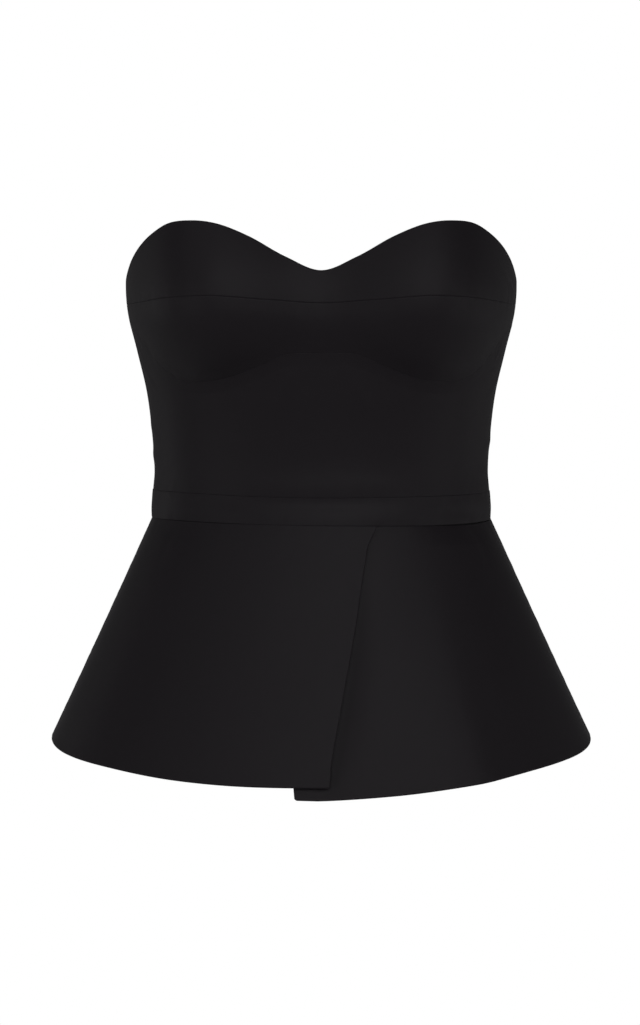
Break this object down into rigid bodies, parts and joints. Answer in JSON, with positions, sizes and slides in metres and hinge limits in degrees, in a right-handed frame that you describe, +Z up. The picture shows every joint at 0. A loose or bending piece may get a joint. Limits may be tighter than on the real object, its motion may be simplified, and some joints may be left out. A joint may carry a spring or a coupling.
{
  "type": "strapless top with a peplum",
  "caption": "Fitted strapless bodice with a sweetheart neckline, a waistband and a flared peplum whose front panels overlap, filled out and hollow.",
  "frame": {"origin": "middle of the waist, level with the middle of the waistband's width, where the wearer holds the garment up", "axes": "+Z up, front faces -Y, +X to the wearer's left"},
  "size_m": [0.4002, 0.2846, 0.4123],
  "materials": {
    "crepe": "matt black stretch crepe with a faint sheen",
    "zip_tape": "matt black woven tape",
    "zip_metal": "satin black enamel"
  },
  "bodies": {
    "garment": {"upper_bust": "crepe", "lower_cups": "crepe", "midriff": "crepe", "bodice_back_left": "crepe", "bodice_back_right": "crepe", "waistband_front": "crepe", "waistband_back_left": "crepe", "waistband_back_right": "crepe", "peplum_over": "crepe", "peplum_under": "crepe", "peplum_back_left": "crepe", "peplum_back_right": "crepe", "zip_tape": "zip_tape", "zip_slider": "zip_metal"},
    "zip_pull": {"zip_pull": "zip_metal"}
  },
  "joints": [
    {"name": "pull_swing", "type": "hinge", "parent": "garment", "child": "zip_pull", "pos_m": [0, 0.10822, 0.139], "axis": [1, 0, 0], "range_deg": [0, 150]}
  ]
}
